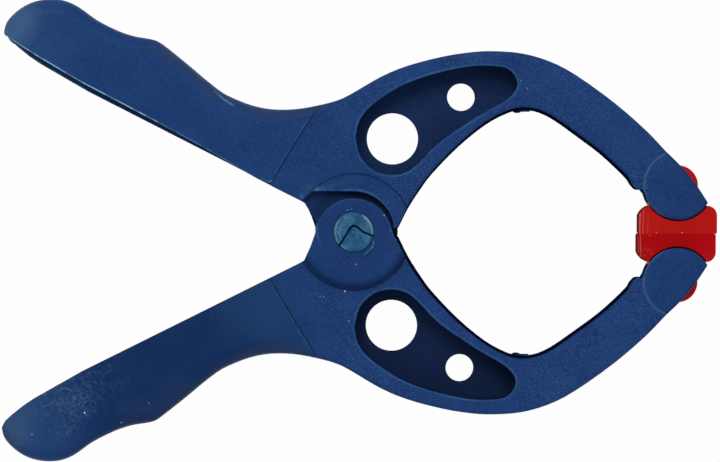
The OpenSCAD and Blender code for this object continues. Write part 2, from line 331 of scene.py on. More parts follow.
# Which rim an edge belongs to: a pocket's mouth, the near lip of the grip channel or any other
def rimOf(edge, side):
    x, y, z = inArm(middle(edge), side)
    along, away = alongHandle(x, y)
    if along > arm["gripFrom"] and away < arm["lipBand"]:
        return "lip"
    if aboutPocket(x, y) and abs(z) > arm["mouthFrom"]:
        (ax, ay), (bx, by) = arm["pocketAxis"]
        share = clamped(((x - ax) * (bx - ax) + (y - ay) * (by - ay)) / ((bx - ax) ** 2 + (by - ay) ** 2))
        inX, inY = ax + share * (bx - ax) - x, sign(side) * (ay + share * (by - ay) - y)
        wall = min(edge.link_faces, key=lambda face: abs(face.normal.z)).normal
        if wall.x * inX + wall.y * inY > 0:
            return "pocket"
    return "plain"


# The throat's walls lean back from the middle plane, as the moulding's draft
def leanThroat(piece, side):
    editAll(piece)
    bpy.ops.mesh.bisect(plane_co=(0, 0, midPlane), plane_no=(0, 0, 1))
    mesh = bmesh.from_edit_mesh(piece.data)
    first, last = arm["throat"]

    def height(vertex):
        return abs(vertex.co.z - midPlane)

    normals = {}
    for face in mesh.faces:
        heights = [height(vertex) for vertex in face.verts]
        x, y, z = inArm(face.calc_center_median(), side)
        steep = abs(face.normal.z) < arm["steep"]
        if (steep and min(heights) < arm["midBand"] and max(heights) > arm["wallHeight"]
                and first < x < last and insideWall(x, y, z, face.normal, side)):
            for vertex in face.verts:
                if height(vertex) > arm["wallHeight"]:
                    normals.setdefault(vertex, []).append(face.normal.copy())
    moves = {}
    for vertex, found in normals.items():
        away = sum(found, Vector())
        away.z = 0
        share = clamped((inArm(vertex.co, side)[0] - first) / arm["draftRun"])
        moves[vertex] = away.normalized() * (arm["draft"] * share + arm["draftNearHinge"][side] * (1 - share))
    walls = [(vertex.co.copy(), move) for vertex, move in moves.items()]
    for vertex in mesh.verts:
        if vertex in moves or height(vertex) < arm["wallHeight"]:
            continue
        x, y, z = vertex.co
        near = [(math.hypot(x - place.x, y - place.y), index)
                for index, (place, move) in enumerate(walls) if (place.z - midPlane) * (z - midPlane) > 0]
        if near and min(near)[0] < arm["edgeBand"]:
            moves[vertex] = walls[min(near)[1]][1]
    for vertex, move in moves.items():
        vertex.co -= move
    bmesh.update_edit_mesh(piece.data)
    leaveEdit()
    return len(moves)


# The rounded rims carry their rubbed wear with a painted highlight; the crease gets a painted highlight on
# its ridge and a painted shadow at its foot, and the upper near lip a painted highlight
def markRims(piece, side, kind):
    mesh = bmesh.from_edit_mesh(piece.data)
    wearAndHighlight, dirt, shine = (faceLayer(mesh, name) for name in ("edgeRub", "seamDirt", "lipShine"))
    low, high = arm["creaseSpan"]
    for face in mesh.faces:
        if not face.select or face.calc_area() > rimFaceBelow:
            continue
        x, y, z = inArm(face.calc_center_median(), side)
        if fromCrease(x, y) < arm["creaseBand"] and abs(z) > arm["mouthFrom"] and low < y < high:
            if abs(z) > arm["ridgeFrom"]:
                face[wearAndHighlight] = arm["creaseHighlight"]
            else:
                face[dirt] = arm["creaseShade"]
        elif kind == "lip" and side == "upper":
            along = alongHandle(x, y)[0]
            level = next((value for start, value in arm["lipHighlight"] if along > start), 0)
            face[shine] = level if z > 0 else level * arm["farLipHighlight"]
        else:
            face[wearAndHighlight] = arm["pocketRimHighlight"] if kind == "pocket" else wearAndHighlightOfRim(x, y, z, side)
    bmesh.update_edit_mesh(piece.data)


# The walls that get painted shade, and the pockets' floors, which get painted shade too
def markWalls(piece, side):
    mesh = bmesh.from_edit_mesh(piece.data)
    wall, dirt = faceLayer(mesh, "innerWall"), faceLayer(mesh, "seamDirt")
    for face in mesh.faces:
        x, y, z = inArm(face.calc_center_median(), side)
        if insideWall(x, y, z, face.normal, side):
            face[wall] = 1.0
        elif aboutPocket(x, y) and abs(face.normal.z) > arm["floorFlat"] and abs(z) < arm["floorBelow"]:
            face[dirt] = arm["floorShade"][side]
    bmesh.update_edit_mesh(piece.data)


# The nub on the throat stands on a low stop, off its middle
def addStop(piece, side):
    x, y = arm["stop"]
    length, depth, height = arm["stopSize"]
    foot = y - depth / 2 / mm
    nubX, nubY, radius = arm["nub"]
    edit(piece, "VERT")
    mesh = bmesh.from_edit_mesh(piece.data)
    for vertex in mesh.verts:
        vx, vy, vz = inArm(vertex.co, side)
        if math.hypot(vx - nubX, vy - nubY) < radius and abs(vz) < height / mm and vy < foot:
            vertex.co.x -= arm["nubShift"]
            vertex.co.y += sign(side) * (foot - vy) * arm["nubFlat"]
    bmesh.update_edit_mesh(piece.data)
    leaveEdit()
    centre = fromHinge(x, sign(side) * y)
    stop = addBlock(side + "Stop", centre, (length, depth, height))
    roundCorner(stop, lambda p: sign(side) * (p.y - centre.y) < 0, *arm["stopCorner"])
    cutOrJoin(piece, stop, "UNION")


def buildArm(side):
    piece = addObject(side + "Arm", frame["nodes"][side + "_arm"].data.copy())
    for within in arm["mergeWithin"]:
        editAll(piece)
        bpy.ops.mesh.remove_doubles(threshold=within)
        bpy.ops.mesh.dissolve_limited(angle_limit=math.radians(arm["flatWithin"]))
        leaveEdit()
    leaned = leanThroat(piece, side)
    addStop(piece, side)
    for kind, (width, segments) in arm["rims"].items():
        count = roundEdges(
            piece, lambda e: outerEdge(e, arm["sharpFrom"]) and rimOf(e, side) == kind, width, segments,
            profile=arm["rimProfile"], mark=lambda: markRims(piece, side, kind))
        print(piece.name, kind, "edges rounded:", count)
    edit(piece, "VERT")
    markWalls(piece, side)
    # Points that the rounding put beyond a flat side are set back onto it
    for level, beyond in ((topPlane, lambda v: v.co.z > topPlane), (0.0, lambda v: v.co.z < 0)):
        bpy.ops.mesh.select_all(action="DESELECT")
        if selectWhere(piece, "verts", beyond):
            bpy.ops.transform.resize(
                value=(1, 1, 0), constraint_axis=(False, False, True), center_override=(0, 0, level))
    leaveEdit()
    print(piece.name, "wall points leaned back:", leaned)
    smoothShade(piece, arm["smoothBelow"])
    return piece


pad = {
    "length": 17.4 * mm,
    "width": 23 * mm,
    "top": 6.3 * mm,
    "gap": 0.004 * mm,
    "near": 0.1 * mm,
    "saddle": 8 * mm,
    "saddleSides": 128,
    "hingeCorner": (2.2 * mm, 3, 0.36),
    "tipCorner": (2.2 * mm, 5),
    "faceCorner": (0.35 * mm, 2),
    "sharpFrom": 50,
    "smoothBelow": 34,
    "rim": (0.3 * mm, 3),
    "faceRim": (0.06 * mm, 2),
    "endRim": (0.85 * mm, 4),
    "endTilt": (0.1, 0.98),
    "wallTilt": 0.75,
    "pivots": ((4.5 * mm, 17.3 * mm, 0.35 * mm), (2 * mm, 20.8 * mm, 0.3 * mm)),
    "pivotSides": 72,
    "web": (12.8 * mm, 17.1 * mm),
    "webFoot": (3.8 * mm, 8.2 * mm),
    "lowerShift": -0.25 * mm,
}


# Both pads are built as the upper one; the lower one is then turned over
def buildPad(name, shift=0.0):
    low, high, near = pad["gap"] / 2, pad["top"], pad["near"]
    centre = Vector((padPivot.x + shift, (low + high) / 2, midPlane))
    end = centre.x - pad["length"] / 2
    piece = addBlock(name, centre, (pad["length"], high - low, pad["width"]))

    def levelEdge(edge):
        return outerEdge(edge, pad["sharpFrom"]) and not upright(edge)

    # The pad's left end and rounded rims get rubbed wear with a painted highlight, and its side walls painted
    # shade
    def markPad():
        mesh = bmesh.from_edit_mesh(piece.data)
        wearAndHighlight, wall = faceLayer(mesh, "edgeRub"), faceLayer(mesh, "innerWall")
        least, most = pad["endTilt"]
        for face in mesh.faces:
            tilt = abs(face.normal.z)
            atEnd = face.calc_center_median().x < end + pad["endRim"][0] and least < tilt < most
            if atEnd or face.select and face.calc_area() < rimFaceBelow:
                face[wearAndHighlight] = 1.0
            if tilt < pad["wallTilt"] and not atEnd:
                face[wall] = 1.0
        bmesh.update_edit_mesh(piece.data)

    roundCorner(piece, lambda p: p.x < centre.x and p.y > centre.y, *pad["hingeCorner"])
    roundCorner(piece, lambda p: p.x > centre.x and p.y > high - near, *pad["tipCorner"])
    roundCorner(piece, lambda p: p.y < low + near, *pad["faceCorner"])
    saddle = addRod("saddle", padPivot, pad["saddle"], 2 * pad["width"], sides=pad["saddleSides"])
    cutOrJoin(piece, saddle, "DIFFERENCE")
    for rim, test, mark in (("endRim", lambda p: p.x < end + near / 2, None),
                            ("rim", lambda p: p.y > low + near, markPad),
                            ("faceRim", lambda p: p.y < low + near, None)):
        roundEdges(piece, lambda e: levelEdge(e) and test(middle(e)), *pad[rim], clamp=True, mark=mark)
    head, foot = pad["webFoot"]
    length, width = pad["web"]
    web = addBlock("web", padPivot - Vector((0, (head + foot) / 2, 0)), (length, foot - head, width))
    cutOrJoin(piece, web, "UNION")
    for radius, depth, rim in pad["pivots"]:
        cutOrJoin(piece, addRod("pivot", padPivot, radius, depth, sides=pad["pivotSides"], rim=rim), "UNION")
    smoothShade(piece, pad["smoothBelow"])
    return piece


def turnOver(piece):
    editAll(piece)
    bpy.ops.transform.rotate(value=math.pi, orient_axis="X", center_override=(0, 0, midPlane))
    leaveEdit()
    return piece


pin = {
    "radius": 4.5 * mm,
    "top": 11.85 * mm,
    "seat": -11.45 * mm,
    "crown": (0.75 * mm, 5),
    "headRadius": 6.6 * mm,
    "headThickness": 0.5 * mm,
    "headRim": 0.15 * mm,
    "rings": 9,
    "ring": 0.38 * mm,
    "unevenness": 0.07 * mm,
    "splitWidth": 0.46 * mm,
    "splitDepth": 2.5 * mm,
    "split": ((-3.6, -3.5), (-2.85, -2.55), (-1.6, -0.55), (-0.72, 1), (-0.05, 1.45), (0.85, 1.05),
              (2.2, 0.0), (4.1, -0.75), (5.2, -1.1)),
    "legDepth": 1 * mm,
    "legTilt": 0.3,
    "legDrop": 0.18 * mm,
    "burr": ((4.25, -1.5, 11.7), (4.4, -2.1, 11.6), (4.45, -2.7, 11.6), (4.25, -3.3, 11.6),
             (3.85, -3.8, 11.6), (3.4, -4.2, 11.6), (2.95, -4.55, 11.6), (2.6, -4.95, 11.5)),
    "burrWidths": (0.315 * mm, 0.21 * mm),
    "burrShape": (1.5, 1.3, 1),
    "burrTurn": (62, -47),
    "flat": 0.99,
    "near": 0.01 * mm,
    "smoothBelow": 40,
}


def underSplit(point):
    line = lineAt(pin["split"], (point.x - hinge.x) / mm)
    return line is not None and (point.y - hinge.y) / mm < line


# A crumb of plastic that the pin's barb left along the rim; the crumbs' sizes come in a fixed order
def shaving(piece, index, place):
    least, more = pin["burrWidths"]
    count = len(pin["burr"])
    width = least + more * (5 * index % count) / count
    first, step = pin["burrTurn"]
    crumb = addBlock("crumb", place, [width * share for share in pin["burrShape"]])
    roundEdges(crumb, lambda e: True, width / 3, 2)
    editAll(crumb)
    bpy.ops.transform.vertex_random(offset=width / 3, seed=index)
    bpy.ops.transform.rotate(value=math.radians(first + step * index), orient_axis="Z", center_override=place)
    leaveEdit()
    makeActive(piece)
    crumb.select_set(True)
    bpy.ops.object.join()


def cutSplit(piece, a, b):
    way = fromHinge(*b) - fromHinge(*a)
    clearSelection()
    bpy.ops.mesh.primitive_cube_add(
        size=1, location=(fromHinge(*a) + fromHinge(*b)) / 2 + Vector((0, 0, pin["top"])),
        rotation=(0, 0, math.atan2(way.y, way.x)),
        scale=(way.length + pin["splitWidth"] / 2, pin["splitWidth"], 2 * pin["splitDepth"]))
    blade = bpy.context.object
    settle(blade)
    cutOrJoin(piece, blade, "DIFFERENCE")


def buildPin():
    low, high = pin["seat"], pin["top"]
    end = midPlane + high
    piece = addRod("hingePin", hinge + Vector((0, 0, (low + high) / 2)), pin["radius"], high - low)
    roundEdges(piece, lambda e: outerEdge(e, squareFrom) and middle(e).z > midPlane, *pin["crown"])
    edit(piece, "FACE")
    selectWhere(piece, "faces", lambda f: f.normal.z > pin["flat"] and f.calc_center_median().z > midPlane)
    for ring in range(pin["rings"]):
        bpy.ops.mesh.inset(thickness=pin["ring"], depth=0)
    leaveEdit()
    edit(piece, "VERT")
    selectWhere(piece, "verts", lambda v: v.co.z > end - pin["near"])
    bpy.ops.transform.vertex_random(offset=pin["unevenness"], uniform=0.0, normal=1.0, seed=4)
    leaveEdit()
    for a, b in zip(pin["split"], pin["split"][1:]):
        cutSplit(piece, a, b)
    edit(piece, "FACE")
    selectWhere(piece, "faces", lambda f: f.normal.z > pin["legTilt"] and underSplit(f.calc_center_median())
                and f.calc_center_median().z > end - pin["legDepth"])
    bpy.ops.transform.translate(value=(0, 0, -pin["legDrop"]))
    leaveEdit()
    head = addRod("head", hinge + Vector((0, 0, low - pin["headThickness"] / 2)), pin["headRadius"],
                  pin["headThickness"], rim=pin["headRim"])
    cutOrJoin(piece, head, "UNION")
    for index, place in enumerate(pin["burr"]):
        shaving(piece, index, fromHinge(*place))
    smoothShade(piece, pin["smoothBelow"])
    return piece


spring = {
    "wire": 1.8 * mm,
    "radius": 7.2,
    "turns": 3,
    "rise": 8.7,
    "legLength": 44,
    "legFoot": 58.44,
    "stepsPerTurn": 40,
    "mergeWithin": 0.01 * mm,
    "sharpFrom": 70,
    "endRim": (0.2 * mm, 2),
    "smoothBelow": 50,
}


# The middle line of the wire, from the tip of one leg through the coil to the tip of the other
def springPath():
    foot = math.radians(spring["legFoot"])
    sweep = 2 * math.pi * spring["turns"] + 2 * foot
    steps = round(spring["stepsPerTurn"] * sweep / (2 * math.pi))
    radius, half, reach = spring["radius"], spring["rise"] / 2, spring["legLength"]

    def legTip(end):
        return fromHinge(radius * math.cos(foot) - reach * math.sin(foot),
                         end * (radius * math.sin(foot) + reach * math.cos(foot)), end * half)

    path = [legTip(1)]
    for step in range(steps + 1):
        share = step / steps
        turn = foot - sweep * share
        path.append(fromHinge(radius * math.cos(turn), radius * math.sin(turn), half - 2 * half * share))
    return path + [legTip(-1)]


def buildSpring():
    path = springPath()
    clearSelection()
    curve = bpy.data.curves.new("torsionSpring", "CURVE")
    curve.dimensions = "3D"
    curve.bevel_depth = spring["wire"] / 2
    curve.bevel_resolution = 4
    curve.use_fill_caps = True
    line = curve.splines.new("POLY")
    line.points.add(len(path) - 1)
    for point, place in zip(line.points, path):
        point.co = (*place, 1)
    makeActive(addObject("torsionSpring", curve))
    bpy.ops.object.convert(target="MESH")
    piece = bpy.context.object
    editAll(piece)
    bpy.ops.mesh.remove_doubles(threshold=spring["mergeWithin"])
    bpy.ops.mesh.normals_make_consistent(inside=False)
    leaveEdit()
    roundEdges(piece, lambda e: outerEdge(e, spring["sharpFrom"]), *spring["endRim"])
    smoothShade(piece, spring["smoothBelow"])
    return piece


view = {
    "distance": 2.014,
    "pixel": 0.22281 * mm,
    "hingePixel": (353.54, 232.02),
    "above": (15.2, 6.7),
    "turn": 0.0056,
    "imageCentre": (360, 231),
    "imageWidth": 720,
    "sensor": 36,
    "clipStart": 0.01,
}


# The camera looks straight down; its lens is shifted so that the hinge falls on its own pixel
def placeCamera():
    camera = addObject("camera", bpy.data.cameras.new("camera"))
    lens, (x, y) = camera.data, view["above"]
    camera.location = (*fromHinge(x, y).xy, topPlane + view["distance"])
    camera.rotation_euler.z = view["turn"]
    lens.sensor_width = view["sensor"]
    lens.lens = view["sensor"] * view["distance"] / (view["imageWidth"] * view["pixel"])
    right = (x * math.cos(view["turn"]) + y * math.sin(view["turn"])) * mm / view["pixel"]
    up = (y * math.cos(view["turn"]) - x * math.sin(view["turn"])) * mm / view["pixel"]
    lens.shift_x = (view["imageCentre"][0] - view["hingePixel"][0] - right) / view["imageWidth"]
    lens.shift_y = (view["hingePixel"][1] - up - view["imageCentre"][1]) / view["imageWidth"]
    lens.clip_start = view["clipStart"]
    bpy.context.scene.camera = camera
    print("camera placed at", [round(c, 4) for c in camera.location])


# A new node; each of its inputs is given a value or a link from another node
def addNode(tree, kind, inputs, **settings):
    node = tree.nodes.new("ShaderNode" + kind)
    for name, value in settings.items():
        setattr(node, name, value)
    for name, value in inputs.items():
        if isinstance(value, bpy.types.NodeSocket):
            tree.links.new(value, node.inputs[name])
        else:
            node.inputs[name].default_value = value
    return node


def calc(tree, operation, a, b=None, clamp=False):
    inputs = {0: a} if b is None else {0: a, 1: b}
    return addNode(tree, "Math", inputs, operation=operation, use_clamp=clamp).outputs[0]


def times(tree, a, b):
    return calc(tree, "MULTIPLY", a, b)


def plus(tree, a, b, clamp=False):
    return calc(tree, "ADD", a, b, clamp)


def oneLess(tree, value):
    return calc(tree, "SUBTRACT", 1.0, value)


def objectPlace(tree):
    return addNode(tree, "TexCoord", {}).outputs["Object"]


def newMaterial(name):
    material = bpy.data.materials.new(name)
    material.use_nodes = True
    return material, material.node_tree, material.node_tree.nodes["Principled BSDF"]


stage = {
    "floorSize": 4,
    "floorDrop": 0.05 * mm,
    "floorColour": (0.5, 0.5, 0.5),
    "floorRoughness": 0.9,
    "whiteShare": 0.985,
    "worldColour": (0.93, 0.96, 1),
    "worldStrength": 0.34,
    "backdropStrength": 1,
}
lamps = {
    "keyLamp": {"from": (-0.1, 0.52, 0.8), "size": 0.5, "power": 4.3},
    "fillLamp": {"from": (0.4, -0.65, 0.5), "size": 0.6, "power": 1.8},
}


# Whether a ray comes from the camera, off a gloss or through a clear piece
def seenDirectly(tree):
    path = addNode(tree, "LightPath", {}).outputs
    first = calc(tree, "MAXIMUM", path["Is Camera Ray"], path["Is Glossy Ray"])
    return calc(tree, "MAXIMUM", first, path["Is Transmission Ray"])


def buildStage():
    clearSelection()
    bpy.ops.mesh.primitive_plane_add(size=stage["floorSize"], location=(0, 0, -stage["floorDrop"]))
    floor = bpy.context.object
    floor.name = "floor"
    settle(floor)
    material, tree, surface = newMaterial("paleFloor")
    surface.inputs["Base Color"].default_value = (*stage["floorColour"], 1)
    surface.inputs["Roughness"].default_value = stage["floorRoughness"]
    white = addNode(tree, "Emission", {})
    share = times(tree, seenDirectly(tree), stage["whiteShare"])
    mix = addNode(tree, "MixShader", {0: share, 1: surface.outputs[0], 2: white.outputs[0]})
    tree.links.new(mix.outputs[0], tree.nodes["Material Output"].inputs["Surface"])
    floor.data.materials.append(material)

    world = bpy.data.worlds.new("studio")
    bpy.context.scene.world = world
    world.use_nodes = True
    tree = world.node_tree
    soft = tree.nodes["Background"]
    soft.inputs["Color"].default_value = (*stage["worldColour"], 1)
    soft.inputs["Strength"].default_value = stage["worldStrength"]
    backdrop = addNode(tree, "Background", {"Strength": stage["backdropStrength"]})
    mix = addNode(tree, "MixShader", {0: seenDirectly(tree), 1: soft.outputs[0], 2: backdrop.outputs[0]})
    tree.links.new(mix.outputs[0], tree.nodes["World Output"].inputs["Surface"])

    for name, lamp in lamps.items():
        light = bpy.data.lights.new(name, "AREA")
        light.size = lamp["size"]
        light.energy = lamp["power"]
        lampObject = addObject(name, light)
        lampObject.location = lamp["from"]
        lampObject.rotation_euler = (-Vector(lamp["from"])).to_track_quat("-Z", "Y").to_euler()
    bpy.context.scene.view_settings.view_transform = "Standard"
    print("floor, world and lamps ready")


def ramp(tree, value, low, high):
    node = addNode(tree, "MapRange", {"Value": value, "From Min": low, "From Max": high}, clamp=True)
    return node.outputs["Result"]


def noise(tree, scale, detail=2.0, roughness=0.5, stretch=None):
    place = objectPlace(tree)
    if stretch:
        size, turn = stretch
        place = addNode(tree, "Mapping", {"Scale": size, "Rotation": turn, "Vector": place}).outputs["Vector"]
    return addNode(tree, "TexNoise", {
        "Scale": scale, "Detail": detail, "Roughness": roughness, "Vector": place}).outputs["Fac"]


# A Mix node's colours are its inputs 6 and 7 and its output 2
def mixColour(tree, factor, a, b):
    a, b = ((*value, 1) if isinstance(value, tuple) else value for value in (a, b))
    return addNode(tree, "Mix", {"Factor": factor, 6: a, 7: b}, data_type="RGBA").outputs[2]


def mixIn(tree, colour, mask, share, tint):
    return mixColour(tree, times(tree, mask, share), colour, tint)


def marked(tree, name):
    return addNode(tree, "Attribute", {}, attribute_name=name).outputs["Fac"]


# An effect is a node group: inputs without a value are places or directions
def newGroup(name, inputs, outputs):
    group = bpy.data.node_groups.new(name, "ShaderNodeTree")
    for label, value in inputs.items():
        kind = "NodeSocketVector" if value is None else "NodeSocketFloat"
        socket = group.interface.new_socket(label, in_out="INPUT", socket_type=kind)
        if value is not None:
            socket.default_value = value
    for label in outputs:
        group.interface.new_socket(label, in_out="OUTPUT", socket_type="NodeSocketFloat")
    start = group.nodes.new("NodeGroupInput")
    end = group.nodes.new("NodeGroupOutput")
    return group, start.outputs, end.inputs


marks = {
    "coarseGrain": 0.22, "grainEdge": (0.32, 0.68), "cloudEdge": (0.38, 0.64), "rubAndHighlightEdge": (0.42, 0.6),
    "scratchStretch": ((1, 14, 14), (0, 0, 0.5)), "scratchEdge": (0.62, 0.72),
    "scratchPatch": 35, "scratchPatchEdge": (0.5, 0.62), "fleckEdge": (0.5, 0.66),
    "breakScale": 900, "breakEdge": (0.45, 0.58), "levels": (8.7, 20),
}


# Fine moulded texture: a tone to mix colours with and a height
def makeGrainGroup():
    group, start, end = newGroup("mouldedGrain", {"Scale": 1800.0, "Coarseness": 0.25}, ("Tone", "Height"))
    fine = noise(group, start["Scale"], detail=1)
    coarse = noise(group, times(group, start["Scale"], marks["coarseGrain"]))
    both = plus(group, times(group, coarse, start["Coarseness"]),
                times(group, fine, oneLess(group, start["Coarseness"])))
    group.links.new(ramp(group, both, *marks["grainEdge"]), end["Tone"])
    group.links.new(both, end["Height"])
    return group


# Rubbed edges with a painted highlight: the bevelled faces, broken up so that the wear and the highlight come
# and go
def makeWearAndHighlightGroup():
    group, start, end = newGroup("edgeRub", {"Patch Scale": 90.0, "Least": 0.35}, ("Mask",))
    patches = ramp(group, noise(group, start["Patch Scale"], detail=3, roughness=0.65), *marks["rubAndHighlightEdge"])
    wearAndHighlight = plus(group, times(group, patches, oneLess(group, start["Least"])), start["Least"])
    group.links.new(times(group, marked(group, "edgeRub"), wearAndHighlight), end["Mask"])
    return group


# Long thin scratches that run one way
def makeScratchGroup():
    group, start, end = newGroup("fineScratches", {"Scale": 60.0, "Amount": 0.5}, ("Mask",))
    lines = noise(group, start["Scale"], detail=4, roughness=0.75, stretch=marks["scratchStretch"])
    patches = ramp(group, noise(group, marks["scratchPatch"]), *marks["scratchPatchEdge"])
    mask = times(group, ramp(group, lines, *marks["scratchEdge"]), patches)
    group.links.new(times(group, mask, start["Amount"]), end["Mask"])
    return group


def awayFrom(tree, centre):
    apart = addNode(tree, "VectorMath", {0: objectPlace(tree), 1: centre}, operation="DISTANCE")
    return apart.outputs["Value"]


# A scuff at one place: flecks that thin out away from its middle
def makeScuffGroup():
    group, start, end = newGroup(
        "placedScuff", {"Centre": None, "Size": 0.003, "Fleck Scale": 2500, "Amount": 1}, ("Mask",))
    near = oneLess(group, ramp(group, awayFrom(group, start["Centre"]), 0.0, start["Size"]))
    flecks = ramp(group, noise(group, start["Fleck Scale"], detail=5, roughness=0.75), *marks["fleckEdge"])
    group.links.new(times(group, times(group, near, flecks), start["Amount"]), end["Mask"])
    return group


# A dot that fades from half its size outwards: a grain of dust, and also the wide soft patches of painted
# shade and painted highlight
def makeDotGroup():
    group, start, end = newGroup("dustGrain", {"Centre": None, "Size": 0.0003}, ("Mask",))
    inner = times(group, start["Size"], 0.5)
    mask = oneLess(group, ramp(group, awayFrom(group, start["Centre"]), inner, start["Size"]))
    group.links.new(mask, end["Mask"])
    return group


# A soft line along an arc about an upright axis, between two heights
def makeArcGroup():
    group, start, end = newGroup("arcMark", {
        "Centre": None, "Towards": None, "Radius": 0.004, "Width": 0.0003, "Reach": 0, "Breaks": 0,
        "Amount": 1, "Lowest": 0, "Highest": 1}, ("Mask",))

    def vector(operation, *inputs):
        return addNode(group, "VectorMath", dict(enumerate(inputs)), operation=operation).outputs

    place = objectPlace(group)
    level = vector("MULTIPLY", vector("SUBTRACT", place, start["Centre"])[0], (1, 1, 0))[0]
    aim = vector("DOT_PRODUCT", vector("NORMALIZE", level)[0], start["Towards"])["Value"]
    z = addNode(group, "SeparateXYZ", {0: place}).outputs["Z"]
    off = calc(group, "SUBTRACT", vector("LENGTH", level)["Value"], start["Radius"])
    mask = oneLess(group, ramp(group, calc(group, "ABSOLUTE", off), 0.0, start["Width"]))
    faded = times(group, plus(group, start["Reach"], 1.0), 0.5)
    gaps = ramp(group, noise(group, marks["breakScale"]), *marks["breakEdge"])
    for other in (ramp(group, aim, start["Reach"], faded),
                  calc(group, "GREATER_THAN", z, start["Lowest"]),
                  calc(group, "LESS_THAN", z, start["Highest"]),
                  oneLess(group, times(group, start["Breaks"], gaps)),
                  start["Amount"]):
        mask = times(group, mask, other)
    group.links.new(mask, end["Mask"])
    return group


effects = {"mouldedGrain": makeGrainGroup(), "edgeRub": makeWearAndHighlightGroup(), "fineScratches": makeScratchGroup(),
           "placedScuff": makeScuffGroup(), "dustGrain": makeDotGroup(), "arcMark": makeArcGroup()}


def useEffect(tree, effect, **values):
    return addNode(tree, "Group", values, node_tree=effects[effect]).outputs


def across(tree, start, end):
    return ramp(tree, addNode(tree, "SeparateXYZ", {0: objectPlace(tree)}).outputs["X"], start, end)


# Painted shades and highlights and dust are a place, a size, an amount for the painted ones and a tint;
# scuffs also have their flecks' scale.
# Arcs are a centre, radius, width, direction, reach to each side, breaks, amount, tint and two levels
def addMarks(tree, surface, colour, look):
    def dot(place, size):
        return useEffect(tree, "dustGrain", Centre=fromHinge(*place), Size=size * mm)["Mask"]

    # Soft patches of painted shade and painted highlight
    for place, size, amount, tint in look.get("paintedLightAndShade", ()):
        colour = mixIn(tree, colour, dot(place, size), amount, tint)
    for place, radius, width, towards, reach, breaks, amount, tint, *levels in look.get("arcs", ()):
        lowest, highest = levels or marks["levels"]
        turn = math.radians(towards)
        mask = useEffect(
            tree, "arcMark", Centre=fromHinge(*place), Towards=(math.cos(turn), math.sin(turn), 0),
            Radius=radius * mm, Width=width * mm, Reach=math.cos(math.radians(reach)), Breaks=breaks,
            Amount=amount, Lowest=midPlane + lowest * mm, Highest=midPlane + highest * mm)["Mask"]
        colour = mixColour(tree, mask, colour, tint)
    for place, size, fleck, amount, tint in look["scuffs"]:
        mask = useEffect(tree, "placedScuff", Centre=fromHinge(*place), Size=size * mm,
                         **{"Fleck Scale": fleck, "Amount": amount})["Mask"]
        colour = mixColour(tree, mask, colour, tint)
    for place, size, tint in look.get("dust", ()):
        colour = mixColour(tree, dot(place, size), colour, tint)
    tree.links.new(colour, surface.inputs["Base Color"])


def startPlastic(name, look):
    material, tree, surface = newMaterial(name)
    grain = useEffect(tree, "mouldedGrain", Scale=look["grain"])
    clouds = ramp(tree, noise(tree, look["clouds"], detail=3), *marks["cloudEdge"])
    tone = plus(tree, times(tree, grain["Tone"], look["grainShare"]),
                times(tree, clouds, 1 - look["grainShare"]), clamp=True)
    colour = mixColour(tree, tone, look["deep"], look["light"])
    low, high = look["roughness"]
    rough = plus(tree, times(tree, grain["Tone"], high - low), low)
    # Walls that little light reaches get painted shade, and are made fully rough
    if "wall" in look:
        wall = marked(tree, "innerWall")
        colour = mixIn(tree, colour, wall, look["wallShadeShare"], look["wall"])
        rough = calc(tree, "MAXIMUM", rough, wall)
    tree.links.new(rough, surface.inputs["Roughness"])
    surface.inputs["Specular IOR Level"].default_value = look["specular"]
    bump = addNode(tree, "Bump", {"Strength": look["bump"], "Distance": look["bumpDepth"],
                                  "Height": grain["Height"]})
    tree.links.new(bump.outputs["Normal"], surface.inputs["Normal"])
    return material, tree, surface, colour


